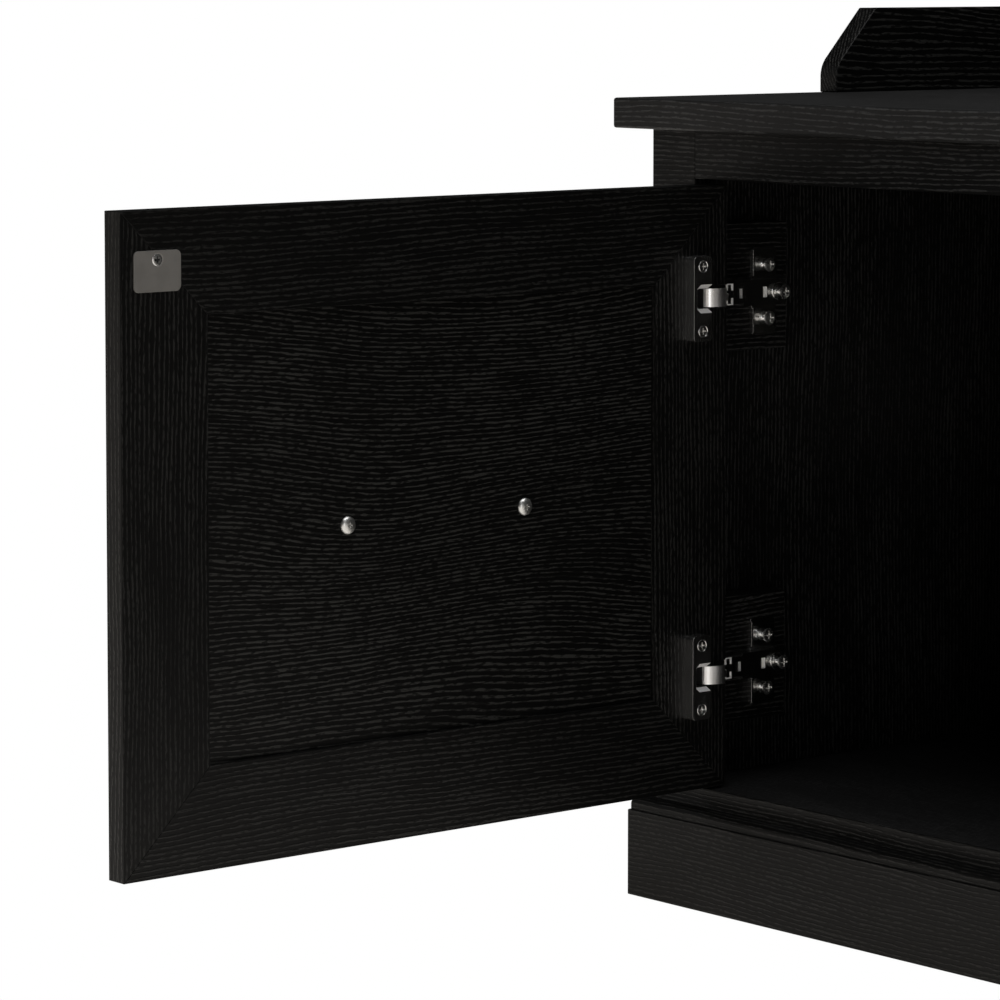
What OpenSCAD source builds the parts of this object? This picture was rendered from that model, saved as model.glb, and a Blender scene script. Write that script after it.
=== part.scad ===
// Media cabinet: two inset framed doors in a face frame, moulded plinth,
// worktop with a low gallery round its back half. Millimetres, +Z up,
// X along the front, front of the face frame at -body_d / 2, floor at Z = 0.

/* [Carcass] */
// Width over the side panels
body_w = 995; // [880:1:1150]
// Depth from the face of the front frame to the back of the back panel
body_d = 383; // [340:1:460]
// Clear height of the door openings
open_h = 362; // [320:1:430]
// Thickness of the worktop, sides, partition, floor and front frame
board_t = 18; // [16:0.5:22]
// Width of each upright of the front frame
stile_w = 37; // [34:0.5:46]
// Height of the top rail of the front frame
rail_h = 29; // [22:0.5:40]
// Overhang of the worktop at the front and the sides
top_over = 17; // [8:0.5:28]
// Thickness of the back panel
back_t = 6; // [4:0.5:9]
// Diameter of each cable hole in the back panel
cable_hole_d = 60; // [30:1:80]

/* [Plinth] */
// Height of the flat face of the plinth
plinth_flat = 52; // [40:1:80]
// Height of the moulded top of the plinth
mould_h = 20; // [19:0.5:24]
// How far the plinth stands out from the carcass
plinth_out = 10; // [9:0.5:14]

/* [Gallery] */
// Height of the gallery boards above the worktop
gallery_h = 52; // [40:1:70]
// Thickness of the gallery boards
gallery_t = 15; // [12:0.5:18]
// Set back of the gallery nose from the front edge of the worktop
gallery_back = 172; // [120:1:220]
// Upright height of the gallery nose below its slope
nose_h = 16.3; // [14:0.1:22]
// Radius between the nose and the slope
nose_r = 17; // [8:0.5:20]

/* [Doors] */
// Door thickness
door_t = 14; // [14:0.1:16]
// Width of the door frame members
member_w = 57; // [50:0.5:75]
// Thickness of the door panel
panel_t = 7; // [5:0.5:8]
// Gap at each side of a door
side_gap = 3; // [2.6:0.1:4]
// Gap above a door
top_gap = 3; // [1.5:0.1:5]
// Gap below a door
bottom_gap = 1.5; // [1:0.1:4]

/* [Handles and catches] */
// Spacing of the handle screws
pull_pitch = 128; // [96:1:192]
// Reach of the handle in front of the door
pull_reach = 30; // [24:0.5:36]
// Diameter of the handle bar
pull_d = 10; // [8:0.5:12]
// Width of the strike plate of the catch
strike_w = 30.5; // [24:0.5:34]
// Height of the strike plate of the catch
strike_h = 22; // [20:0.5:28]

/* [Hinges] */
// Distance of each hinge centre from the nearer end of its door
hinge_end = 67; // [60:1:100]
// How far the pair of hinges sits above the middle of its door
hinge_rise = 1.2; // [0:0.1:3]
// Spacing of the screws through a hinge cup
cup_pitch = 38; // [36:0.5:42]
// Spacing of the screws through a mounting plate
plate_pitch = 32; // [30:0.5:36]
// Diameter of the hinge pin
pin_d = 3; // [2.6:0.1:3.2]
// Depth of each spacer block behind the front frame
block_d = 57; // [54:1:70]
// Height of each spacer block
block_h = 76; // [66:1:96]

/* [Hidden] */
fit = 0.1;
pin_fit = 0.05;
knuckle_fit = 0.25;
plinth_h = plinth_flat + mould_h;
top_z = plinth_h + open_h + rail_h;
front_y = -body_d / 2;
inner_d = body_d - back_t;
open_w = (body_w - 3 * stile_w) / 2;
door_w = open_w - 2 * side_gap;
door_h = open_h - top_gap - bottom_gap;
door_z = plinth_h + bottom_gap;
rest_angle = 90;

// hinge: everything is set out from the pin and the corner of the door
pin_in = 5.2;
pin_r = pin_d / 2;
barrel_r = pin_r + 0.9;
arm_half = 6;
tongue_half = 2;
notch_floor = pin_in - barrel_r - 0.4;
notch_in = pin_in + barrel_r + 0.5;
notch_half = arm_half + 0.8;
leaf_t = 2;
leaf_y = door_t + 5;
leaf_bend = 4;
leaf_full = 7.3;
cup_in = 20;
cup_w = 14.2;
cup_proud = 8.6;
cup_h = cup_pitch + 12;
cup_depth = 8;
cup_wall = 1.2;
cup_mid = cup_in + cup_w / 2;
well_w = 7.8;
well_half = 9;
neck_y = leaf_y + leaf_t + 1.2;
neck_t = 2.5;
arm_top = side_gap + pin_in + neck_t / 2;
arm_body_y = 31;
arm_end_y = 66;
arm_body_half = 7.75;
sheet_t = 1.5;
flange_t = 1.2;
rib_half = arm_body_half - flange_t - fit;
rib_y = arm_body_y + 2;
plate_y = 45;
plate_w = 20;
plate_h = plate_pitch + 20.4;
plate_mid = plate_y + plate_w / 2;
clamp_y = 60;
adjust_y = 48;
block_t = stile_w - board_t;
block_up = 3;

// wood screw: countersunk head, plain shank
screw_head_r = 3.5;
screw_r = 1.6;
sink_h = 1.9;
cross_w = 0.9;
cross_l = 4;

// machine screw behind each handle foot
pull_screw_r = 2;
pull_head_r = 5;
pull_head_h = 2.2;

// handle
foot_r = pull_d / 2 - 0.5;
pull_over = 11;
pull_len = pull_pitch + 2 * pull_over;

// catch
strike_t = 1.2;
strike_edge = 8.3;
strike_top = 21.3;
strike_hole_drop = 5;
catch_gap = 0.4;
catch_d = 28;
catch_w = 26;
catch_ear = 16;
catch_screw_l = 10;

// door panel groove
groove = 8;
panel_gap = 1;

gallery_len = body_d + top_over - gallery_back;

$fn = 96;

wood = "#1c1b1a";
wood_inner = "#262423";
steel = "#8f8d88";
chrome = "#c9cacb";
plastic = "#4b3a2c";

// ---- places ------------------------------------------------------------

// corner between the left upright's inner edge and its front face
module left_side() translate([-body_w / 2 + stile_w, front_y, 0]) children();
module right_side() mirror([1, 0, 0]) left_side() children();

// heights of the two hinges of a door
function hinge_z(upper) = door_z + hinge_rise + (upper ? door_h - hinge_end : hinge_end);

// door frame: X from the hinge edge, Y from the outer face, Z from the bottom
module door_shut() translate([side_gap, 0, door_z]) children();
module door_ajar()
  translate([side_gap + pin_in, pin_in, 0]) rotate([0, 0, -rest_angle])
    translate([-side_gap - pin_in, -pin_in, 0]) door_shut() children();
module left_door() left_side() door_ajar() children();
module right_door() right_side() door_shut() children();

// ---- fasteners ---------------------------------------------------------

// pan at Z = 0 looking up +Z; shank runs down
module cross_slot(depth) {
  translate([-cross_l / 2, -cross_w / 2, -depth]) cube([cross_l, cross_w, depth + 1]);
  translate([-cross_w / 2, -cross_l / 2, -depth]) cube([cross_w, cross_l, depth + 1]);
}

module flat_screw(len) difference() {
  union() {
    translate([0, 0, -sink_h]) cylinder(r1 = screw_r, r2 = screw_head_r, h = sink_h);
    translate([0, 0, -len]) cylinder(r = screw_r, h = len - sink_h + 0.01);
  }
  cross_slot(1.2);
}

// clearance for the same screw
module flat_screw_hole(len) {
  translate([0, 0, -sink_h]) cylinder(r1 = screw_r + fit, r2 = screw_head_r + fit, h = sink_h);
  translate([0, 0, -len - fit]) cylinder(r = screw_r + fit, h = len - sink_h + fit + 0.01);
  cylinder(r = screw_head_r + fit, h = 1);
}

// flared collar, neck and round head standing on the plate
post_foot_r = 3.8;
post_neck_r = 1.9;
post_ball_r = 3;
post_head_r = 4.3;
post_h = 5.9;
module post_screw(len) difference() {
  union() {
    cylinder(r1 = post_foot_r, r2 = post_neck_r, h = 1);
    cylinder(r = post_neck_r, h = 2.6);
    translate([0, 0, 2]) cylinder(r1 = post_neck_r, r2 = post_ball_r, h = 1);
    translate([0, 0, 3]) cylinder(r = post_ball_r, h = 1.9);
    translate([0, 0, 4.8]) cylinder(r1 = post_head_r, r2 = post_head_r - 1.2, h = post_h - 4.8);
    translate([0, 0, -len]) cylinder(r = screw_r, h = len + 0.01);
  }
  translate([0, 0, post_h]) cross_slot(1.4);
}

// ---- carcass -----------------------------------------------------------

module worktop() color(wood_inner)
  translate([-body_w / 2 - top_over, front_y - top_over, top_z])
    cube([body_w + 2 * top_over, body_d + top_over, board_t]);

module side_panel() difference() {
  translate([-body_w / 2, front_y + board_t, plinth_h])
    cube([board_t, inner_d - board_t, open_h + rail_h]);
  left_side() for (up = [true, false]) plate_screw_bores(up);
}
module side_panel_left() color(wood) side_panel();
module side_panel_right() color(wood) mirror([1, 0, 0]) side_panel();

module partition() color(wood) difference() {
  translate([-board_t / 2, front_y + board_t, plinth_h])
    cube([board_t, inner_d - board_t, open_h + rail_h]);
  left_side() catch_screw_places() flat_screw_hole(catch_screw_l);
  right_side() catch_screw_places() flat_screw_hole(catch_screw_l);
}

module floor_panel() color(wood_inner)
  translate([-body_w / 2, front_y, plinth_h - board_t]) cube([body_w, inner_d, board_t]);

module back_panel() color(wood) difference() {
  translate([-body_w / 2, body_d / 2 - back_t, plinth_h - board_t])
    cube([body_w, back_t, board_t + open_h + rail_h]);
  for (s = [-1, 1])
    translate([s * (open_w + stile_w) / 2, body_d / 2 - back_t - 1, plinth_h + open_h / 2])
      rotate([-90, 0, 0]) cylinder(d = cable_hole_d, h = back_t + 2);
}

module face_stile_left() color(wood)
  translate([-body_w / 2, front_y, plinth_h]) cube([stile_w, board_t, open_h + rail_h]);
module face_stile_right() color(wood) mirror([1, 0, 0]) face_stile_left();
module face_stile_centre() color(wood)
  translate([-stile_w / 2, front_y, plinth_h]) cube([stile_w, board_t, open_h]);
module face_rail_top() color(wood)
  translate([-body_w / 2 + stile_w, front_y, plinth_h + open_h])
    cube([body_w - 2 * stile_w, board_t, rail_h]);

// ---- plinth ------------------------------------------------------------

// outline across the plinth: X outwards from the carcass, Y up
quirk = 1.3;
round_r = 5;
round_z = plinth_flat + 3.5;
ledge_x = plinth_out - quirk - round_r;
ledge_z = round_z + round_r;
bead_h = 1.2;
bead_x = 1.2;
cove_rise = plinth_h - bead_h - ledge_z;
cove_run = ledge_x - bead_x;
cove_r = (cove_run * cove_run + cove_rise * cove_rise) / (2 * cove_run);

module plinth_outline() {
  // board, its rebate under the floor, and the flat face
  translate([plinth_out - board_t, 0]) square([board_t, plinth_h - board_t]);
  translate([0, plinth_h - board_t - 1]) square([plinth_out, plinth_flat - plinth_h + board_t + 1]);
  // rounded shoulder
  translate([0, plinth_flat - 1]) square([ledge_x + round_r, round_z - plinth_flat + 1]);
  intersection() {
    translate([ledge_x, round_z]) circle(r = round_r);
    translate([0, round_z - 1]) square([plinth_out, round_r + 2]);
  }
  // hollow and top bead
  difference() {
    translate([0, round_z]) square([ledge_x, plinth_h - round_z]);
    difference() {
      translate([bead_x, ledge_z]) square([cove_run + 1, plinth_h - ledge_z + 1]);
      translate([bead_x, ledge_z]) difference() {
        square([cove_run, cove_rise]);
        translate([cove_r, cove_rise]) circle(r = cove_r);
      }
    }
  }
}

// length runs along +X, outside faces -Y, ends cut at 45 degrees where asked
module plinth_run(len) rotate([90, 0, 90]) linear_extrude(len) mirror([1, 0]) plinth_outline();

module plinth_front() color(wood) {
  whole = body_w + 2 * plinth_out;
  intersection() {
    translate([-whole / 2, front_y, 0]) plinth_run(whole);
    linear_extrude(plinth_h + 1) polygon([
      [-body_w / 2 - plinth_out, front_y - plinth_out],
      [body_w / 2 + plinth_out, front_y - plinth_out],
      [body_w / 2 - board_t, front_y + board_t],
      [-body_w / 2 + board_t, front_y + board_t]
    ]);
  }
}

module plinth_left() color(wood) {
  whole = body_d + plinth_out;
  intersection() {
    translate([-body_w / 2, front_y - plinth_out + whole, 0])
      rotate([0, 0, -90]) plinth_run(whole);
    linear_extrude(plinth_h + 1) polygon([
      [-body_w / 2 - plinth_out, front_y - plinth_out],
      [-body_w / 2 - plinth_out, body_d / 2],
      [-body_w / 2 + board_t, body_d / 2],
      [-body_w / 2 + board_t, front_y + board_t]
    ]);
  }
}
module plinth_right() color(wood) mirror([1, 0, 0]) plinth_left();

module centre_foot() color(wood)
  translate([-40, -20, 0]) cube([80, 40, plinth_h - board_t]);

// ---- gallery -----------------------------------------------------------

// outline seen from the side: X back from the nose, Y up
module gallery_outline(len) {
  slope = 43.3;
  steps = 12;
  run = (gallery_h - nose_h) * tan(slope);
  start_y = nose_h - nose_r * tan(slope / 2);
  nose = [for (i = [0:steps]) let (a = 180 - slope * i / steps)
    [nose_r * (1 + cos(a)), start_y + nose_r * sin(a)]];
  polygon(concat([[len, 0], [0, 0]], nose, [[run, gallery_h], [len, gallery_h]]));
}

module gallery_left() color(wood)
  translate([-body_w / 2 - top_over, front_y - top_over + gallery_back, top_z + board_t])
    rotate([90, 0, 90]) linear_extrude(gallery_t) gallery_outline(gallery_len);
module gallery_right() color(wood) mirror([1, 0, 0]) gallery_left();

module gallery_back() color(wood)
  translate([-body_w / 2 - top_over + gallery_t, body_d / 2 - gallery_t, top_z + board_t])
    cube([body_w + 2 * top_over - 2 * gallery_t, gallery_t, gallery_h]);

// ---- hinge parts fixed to the carcass ----------------------------------

module rounded_sheet(w, h, r) {
  translate([-w / 2 + r, -h / 2]) square([w - 2 * r, h]);
  translate([-w / 2, -h / 2 + r]) square([w, h - 2 * r]);
  for (x = [-1, 1], y = [-1, 1]) translate([x * (w / 2 - r), y * (h / 2 - r)]) circle(r = r);
}

// axis +X out of the block, at the face given
module plate_screw_places(upper) for (s = [-1, 1])
  translate([sheet_t, plate_mid, hinge_z(upper) + s * plate_pitch / 2]) rotate([0, 90, 0]) children();
module clamp_screw_place(upper)
  translate([arm_top, clamp_y, hinge_z(upper)]) rotate([0, 90, 0]) children();

plate_screw_l = block_t + 4;
clamp_screw_l = 6;
module plate_screw_bores(upper)
  plate_screw_places(upper) translate([0, 0, -plate_screw_l - fit])
    cylinder(r = screw_r + fit, h = plate_screw_l + 3);

module hinge_block(upper) difference() {
  translate([-block_t, board_t, hinge_z(upper) + block_up - block_h / 2])
    cube([block_t, block_d, block_h]);
  plate_screw_bores(upper);
}
module hinge_block_left_upper() color(wood_inner) left_side() hinge_block(true);
module hinge_block_left_lower() color(wood_inner) left_side() hinge_block(false);
module hinge_block_right_upper() color(wood_inner) right_side() hinge_block(true);
module hinge_block_right_lower() color(wood_inner) right_side() hinge_block(false);

module hinge_plate(upper) difference() {
  translate([0, 0, hinge_z(upper)]) {
    // wings and the bent lip at the front of each
    translate([0, plate_mid, 0]) rotate([90, 0, 90]) linear_extrude(sheet_t)
      rounded_sheet(plate_w, plate_h, 2.5);
    for (s = [-1, 1]) translate([0, plate_y, s * (rib_half + plate_h / 2) / 2 - 6.5])
      cube([4, flange_t, 13]);
    // rib under the arm
    translate([0, rib_y, -rib_half]) cube([arm_top - sheet_t, arm_end_y - rib_y, 2 * rib_half]);
  }
  plate_screw_bores(upper);
  clamp_screw_place(upper) translate([0, 0, -clamp_screw_l - fit])
    cylinder(r = screw_r + fit, h = clamp_screw_l + 1);
}
module hinge_plates_left() color(steel) left_side() for (up = [true, false]) hinge_plate(up);
module hinge_plates_right() color(steel) right_side() for (up = [true, false]) hinge_plate(up);

module hinge_arm(upper) translate([0, 0, hinge_z(upper)]) difference() {
  pin_x = side_gap + pin_in;
  union() {
    // two tines with the pin through their ends
    for (s = [-1, 1])
      translate([0, 0, s * (tongue_half + knuckle_fit + arm_half) / 2])
        linear_extrude(arm_half - tongue_half - knuckle_fit, center = true) {
          translate([pin_x, pin_in]) circle(r = barrel_r);
          translate([arm_top - neck_t, pin_in]) square([neck_t, neck_y - pin_in + 1]);
        }
    // neck with a raised lip
    translate([arm_top - neck_t, neck_y, -arm_half]) cube([neck_t, arm_body_y - neck_y + 1, 2 * arm_half]);
    translate([arm_top - neck_t, neck_y, -arm_half - 0.8])
      cube([neck_t + 1.4, sheet_t, 2 * arm_half + 1.6]);
    // channel over the rib of the mounting plate
    translate([arm_top - sheet_t, arm_body_y, -arm_body_half])
      cube([sheet_t, arm_end_y - arm_body_y, 2 * arm_body_half]);
    for (s = [0, 1]) translate([sheet_t + 0.5, arm_body_y, s * (2 * arm_body_half - flange_t) - arm_body_half])
      cube([arm_top - sheet_t - 0.5, arm_end_y - arm_body_y, flange_t]);
  }
  translate([pin_x, pin_in, -arm_half - 1]) cylinder(r = pin_r + pin_fit, h = 2 * arm_half + 2);
  translate([0, neck_y + 3.3, -2.5]) cube([arm_top + 3, 5, 5]);
  translate([arm_top - 2 * sheet_t, adjust_y - 2, -3.2]) cube([3 * sheet_t, 4, 6.4]);
  translate([arm_top - 2 * sheet_t, clamp_y, 0]) rotate([0, 90, 0]) cylinder(r = screw_r + fit, h = 3 * sheet_t);
}
module hinge_arm_left_upper() color(chrome) left_side() hinge_arm(true);
module hinge_arm_left_lower() color(chrome) left_side() hinge_arm(false);
module hinge_arm_right_upper() color(chrome) right_side() hinge_arm(true);
module hinge_arm_right_lower() color(chrome) right_side() hinge_arm(false);

module pin_pair() for (up = [true, false])
  translate([side_gap + pin_in, pin_in, hinge_z(up) - arm_half])
    cylinder(r = pin_r, h = 2 * arm_half);
module hinge_pins() color(steel) {
  left_side() pin_pair();
  right_side() pin_pair();
}

module plate_screw_set() for (up = [true, false]) {
  plate_screw_places(up) post_screw(plate_screw_l);
  clamp_screw_place(up) post_screw(clamp_screw_l);
}
module plate_screws() color(steel) {
  left_side() plate_screw_set();
  right_side() plate_screw_set();
}

// ---- magnetic catches --------------------------------------------------

strike_mid_x = door_w - strike_edge - strike_w / 2;
strike_mid_z = door_h - strike_top - strike_h / 2;
catch_x = side_gap + strike_mid_x - catch_w / 2;
catch_y = door_t + strike_t + catch_gap;
catch_far = open_w + (stile_w - board_t) / 2;
catch_half = strike_h / 2 - 1;
ear_t = 3;
magnet_w = 18;
magnet_h = 15;
magnet_d = 12;

module catch_screw_places() for (s = [-1, 1])
  translate([catch_far - ear_t, catch_y + catch_d + catch_ear / 2, door_z + strike_mid_z + s * 6])
    rotate([0, -90, 0]) children();

module magnet_place() translate([side_gap + strike_mid_x, catch_y, door_z + strike_mid_z]) children();

module catch_body() difference() {
  translate([0, 0, door_z + strike_mid_z - catch_half]) {
    translate([catch_x, catch_y, 0]) cube([open_w - 0.5 - catch_x, catch_d, 2 * catch_half]);
    translate([open_w - 1, board_t, 0])
      cube([catch_far - open_w + 1, catch_y + catch_d - board_t, 2 * catch_half]);
    translate([catch_far - ear_t, board_t, 0])
      cube([ear_t, catch_y + catch_d + catch_ear - board_t, 2 * catch_half]);
  }
  magnet_place() translate([-magnet_w / 2, -1, -magnet_h / 2]) cube([magnet_w, magnet_d + 1, magnet_h]);
  catch_screw_places() flat_screw_hole(catch_screw_l);
}
module catch_left() color(plastic) left_side() catch_body();
module catch_right() color(plastic) right_side() catch_body();

module magnet() magnet_place() {
  translate([-magnet_w / 2, 0, -magnet_h / 2]) cube([magnet_w, magnet_d, magnet_h]);
}
module catch_magnets() color(steel) {
  left_side() magnet();
  right_side() magnet();
}
module catch_screws() color(steel) {
  left_side() catch_screw_places() flat_screw(catch_screw_l);
  right_side() catch_screw_places() flat_screw(catch_screw_l);
}

// ---- door --------------------------------------------------------------

cup_screw_l = 18;
strike_screw_l = 10;
cup_heights = [hinge_z(false) - door_z, hinge_z(true) - door_z];

module cup_screw_places() for (z = cup_heights, s = [-1, 1])
  translate([cup_mid, door_t + cup_proud, z + s * cup_pitch / 2]) rotate([-90, 0, 0]) children();
module strike_screw_place()
  translate([strike_mid_x, door_t + strike_t, door_h - strike_top - strike_hole_drop])
    rotate([-90, 0, 0]) children();
module pull_places() for (s = [-1, 1])
  translate([door_w / 2 + s * pull_pitch / 2, 0, door_h / 2]) rotate([-90, 0, 0]) children();

// what is cut out of the frame for the panel, the hinges and the screws
module door_cuts() {
  translate([member_w - groove, (door_t - panel_t) / 2, member_w - groove])
    cube([door_w - 2 * (member_w - groove), panel_t, door_h - 2 * (member_w - groove)]);
  for (z = cup_heights) {
    translate([-1, notch_floor, z - notch_half])
      cube([notch_in + 1, door_t, 2 * notch_half]);
    translate([cup_mid - well_w / 2 - cup_wall - fit, door_t - cup_depth - fit, z - well_half - cup_wall - fit])
      cube([well_w + 2 * (cup_wall + fit), cup_depth + 1, 2 * (well_half + cup_wall + fit)]);
  }
  cup_screw_places() flat_screw_hole(cup_screw_l);
  strike_screw_place() flat_screw_hole(strike_screw_l);
}

module member(points) difference() {
  translate([0, door_t, 0]) rotate([90, 0, 0]) linear_extrude(door_t) polygon(points);
  door_cuts();
}
module stile_hinge()
  member([[0, 0], [member_w, member_w], [member_w, door_h - member_w], [0, door_h]]);
module stile_free()
  member([[door_w, 0], [door_w, door_h], [door_w - member_w, door_h - member_w], [door_w - member_w, member_w]]);
module rail_top()
  member([[0, door_h], [member_w, door_h - member_w], [door_w - member_w, door_h - member_w], [door_w, door_h]]);
module rail_bottom()
  member([[0, 0], [door_w, 0], [door_w - member_w, member_w], [member_w, member_w]]);

module door_panel() difference() {
  edge = member_w - groove + panel_gap;
  translate([edge, (door_t - panel_t) / 2, edge]) cube([door_w - 2 * edge, panel_t, door_h - 2 * edge]);
  pull_places() translate([0, 0, -1]) cylinder(r = pull_screw_r + fit, h = door_t + 2);
}

module hinge_cup(z) difference() {
  union() {
    translate([cup_mid, door_t + cup_proud, z]) rotate([90, 0, 0]) linear_extrude(cup_proud)
      rounded_sheet(cup_w, cup_h, 2.5);
    translate([cup_mid - well_w / 2 - cup_wall, door_t - cup_depth, z - well_half - cup_wall])
      cube([well_w + 2 * cup_wall, cup_depth + 1, 2 * (well_half + cup_wall)]);
  }
  translate([cup_mid - well_w / 2, door_t - cup_depth + cup_wall, z - well_half])
    cube([well_w, cup_depth + cup_proud, 2 * well_half]);
  translate([cup_in - 1, leaf_y - fit, z - arm_half - fit])
    cube([cup_w / 2, cup_proud, 2 * (arm_half + fit)]);
  cup_screw_places() flat_screw_hole(cup_screw_l);
}

// bent strap from the cup to the pin; its outline lies across the door
module leaf_outline() {
  bend_r = leaf_bend + leaf_t;
  bend_x = pin_in - leaf_t - 0.2 + bend_r;
  bend_y = leaf_y - leaf_bend;
  end_x = cup_mid + well_w / 2 - 2;
  translate([bend_x, leaf_y]) square([end_x - bend_x, leaf_t]);
  translate([end_x - leaf_t, door_t - cup_depth + cup_wall])
    square([leaf_t, leaf_y - door_t + cup_depth - cup_wall + 1]);
  intersection() {
    difference() {
      translate([bend_x, bend_y]) circle(r = bend_r);
      translate([bend_x, bend_y]) circle(r = leaf_bend);
    }
    translate([bend_x - bend_r, bend_y]) square([bend_r, bend_r]);
  }
  translate([bend_x - bend_r, pin_in]) square([leaf_t, bend_y - pin_in]);
}

module hinge_leaf(z) translate([0, 0, z]) difference() {
  union() {
    linear_extrude(2 * tongue_half, center = true) {
      leaf_outline();
      translate([pin_in, pin_in]) circle(r = barrel_r);
    }
    linear_extrude(2 * arm_half, center = true) intersection() {
      leaf_outline();
      translate([leaf_full, 0]) square([member_w, member_w]);
    }
  }
  translate([pin_in, pin_in, -arm_half - 1]) cylinder(r = pin_r + pin_fit, h = 2 * arm_half + 2);
}

module strike_plate() difference() {
  translate([strike_mid_x, door_t + strike_t, strike_mid_z]) rotate([90, 0, 0])
    linear_extrude(strike_t) rounded_sheet(strike_w, strike_h, 3);
  strike_screw_place() flat_screw_hole(strike_screw_l);
}

module door_screws() {
  cup_screw_places() flat_screw(cup_screw_l);
  strike_screw_place() flat_screw(strike_screw_l);
}

panel_in = (door_t + panel_t) / 2;
panel_out = (door_t - panel_t) / 2;
thread_l = 9;
module pull_screws() pull_places() difference() {
  union() {
    translate([0, 0, panel_in]) cylinder(r = pull_head_r, h = 0.9);
    translate([0, 0, panel_in + 0.9]) cylinder(r1 = pull_head_r, r2 = pull_head_r - 1.6, h = pull_head_h - 0.9);
    translate([0, 0, panel_out - thread_l]) cylinder(r = pull_screw_r, h = panel_in - panel_out + thread_l + 0.01);
  }
  translate([0, 0, panel_in + pull_head_h]) cross_slot(1.2);
}

module pull() difference() {
  bar_y = pull_d / 2 - pull_reach;
  union() {
    translate([door_w / 2 - pull_len / 2, bar_y, door_h / 2]) rotate([0, 90, 0]) {
      translate([0, 0, 1]) cylinder(r = pull_d / 2, h = pull_len - 2);
      cylinder(r1 = pull_d / 2 - 1, r2 = pull_d / 2, h = 1);
      translate([0, 0, pull_len - 1]) cylinder(r1 = pull_d / 2, r2 = pull_d / 2 - 1, h = 1);
    }
    pull_places() translate([0, 0, bar_y]) cylinder(r = foot_r, h = panel_out - bar_y);
  }
  pull_places() translate([0, 0, panel_out - thread_l - fit])
    cylinder(r = pull_screw_r + pin_fit, h = thread_l + 1);
}

module door_left_stile_hinge() color(wood) left_door() stile_hinge();
module door_left_stile_free() color(wood) left_door() stile_free();
module door_left_rail_top() color(wood) left_door() rail_top();
module door_left_rail_bottom() color(wood) left_door() rail_bottom();
module door_left_panel() color(wood_inner) left_door() door_panel();
module hinge_cup_left_upper() color(steel) left_door() hinge_cup(cup_heights[1]);
module hinge_cup_left_lower() color(steel) left_door() hinge_cup(cup_heights[0]);
module hinge_leaf_left_upper() color(chrome) left_door() hinge_leaf(cup_heights[1]);
module hinge_leaf_left_lower() color(chrome) left_door() hinge_leaf(cup_heights[0]);
module door_screws_left() color(steel) left_door() door_screws();
module strike_plate_left() color(steel) left_door() strike_plate();
module handle_left() color(steel) left_door() pull();
module handle_screws_left() color(steel) left_door() pull_screws();

module door_right_stile_hinge() color(wood) right_door() stile_hinge();
module door_right_stile_free() color(wood) right_door() stile_free();
module door_right_rail_top() color(wood) right_door() rail_top();
module door_right_rail_bottom() color(wood) right_door() rail_bottom();
module door_right_panel() color(wood_inner) right_door() door_panel();
module hinge_cup_right_upper() color(steel) right_door() hinge_cup(cup_heights[1]);
module hinge_cup_right_lower() color(steel) right_door() hinge_cup(cup_heights[0]);
module hinge_leaf_right_upper() color(chrome) right_door() hinge_leaf(cup_heights[1]);
module hinge_leaf_right_lower() color(chrome) right_door() hinge_leaf(cup_heights[0]);
module door_screws_right() color(steel) right_door() door_screws();
module strike_plate_right() color(steel) right_door() strike_plate();
module handle_right() color(steel) right_door() pull();
module handle_screws_right() color(steel) right_door() pull_screws();

worktop();
side_panel_left();
side_panel_right();
partition();
floor_panel();
back_panel();
face_stile_left();
face_stile_right();
face_stile_centre();
face_rail_top();
plinth_front();
plinth_left();
plinth_right();
centre_foot();
gallery_left();
gallery_right();
gallery_back();
hinge_block_left_upper();
hinge_block_left_lower();
hinge_block_right_upper();
hinge_block_right_lower();
hinge_plates_left();
hinge_plates_right();
hinge_arm_left_upper();
hinge_arm_left_lower();
hinge_arm_right_upper();
hinge_arm_right_lower();
hinge_pins();
plate_screws();
catch_left();
catch_right();
catch_magnets();
catch_screws();
door_left_stile_hinge();
door_left_stile_free();
door_left_rail_top();
door_left_rail_bottom();
door_left_panel();
hinge_cup_left_upper();
hinge_cup_left_lower();
hinge_leaf_left_upper();
hinge_leaf_left_lower();
door_screws_left();
strike_plate_left();
handle_left();
handle_screws_left();
door_right_stile_hinge();
door_right_stile_free();
door_right_rail_top();
door_right_rail_bottom();
door_right_panel();
hinge_cup_right_upper();
hinge_cup_right_lower();
hinge_leaf_right_upper();
hinge_leaf_right_lower();
door_screws_right();
strike_plate_right();
handle_right();
handle_screws_right();
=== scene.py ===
# %% [markdown]
# # A media cabinet, piece by piece
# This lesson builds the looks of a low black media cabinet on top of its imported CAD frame.
# The frame gives every place and size; Blender gives the eased edges, the embossed grain
# foil and the bright hardware. First the frame is loaded and its box is kept for later.

# %% Load the frame
import math
import bpy
from mathutils import Vector, Matrix


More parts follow.
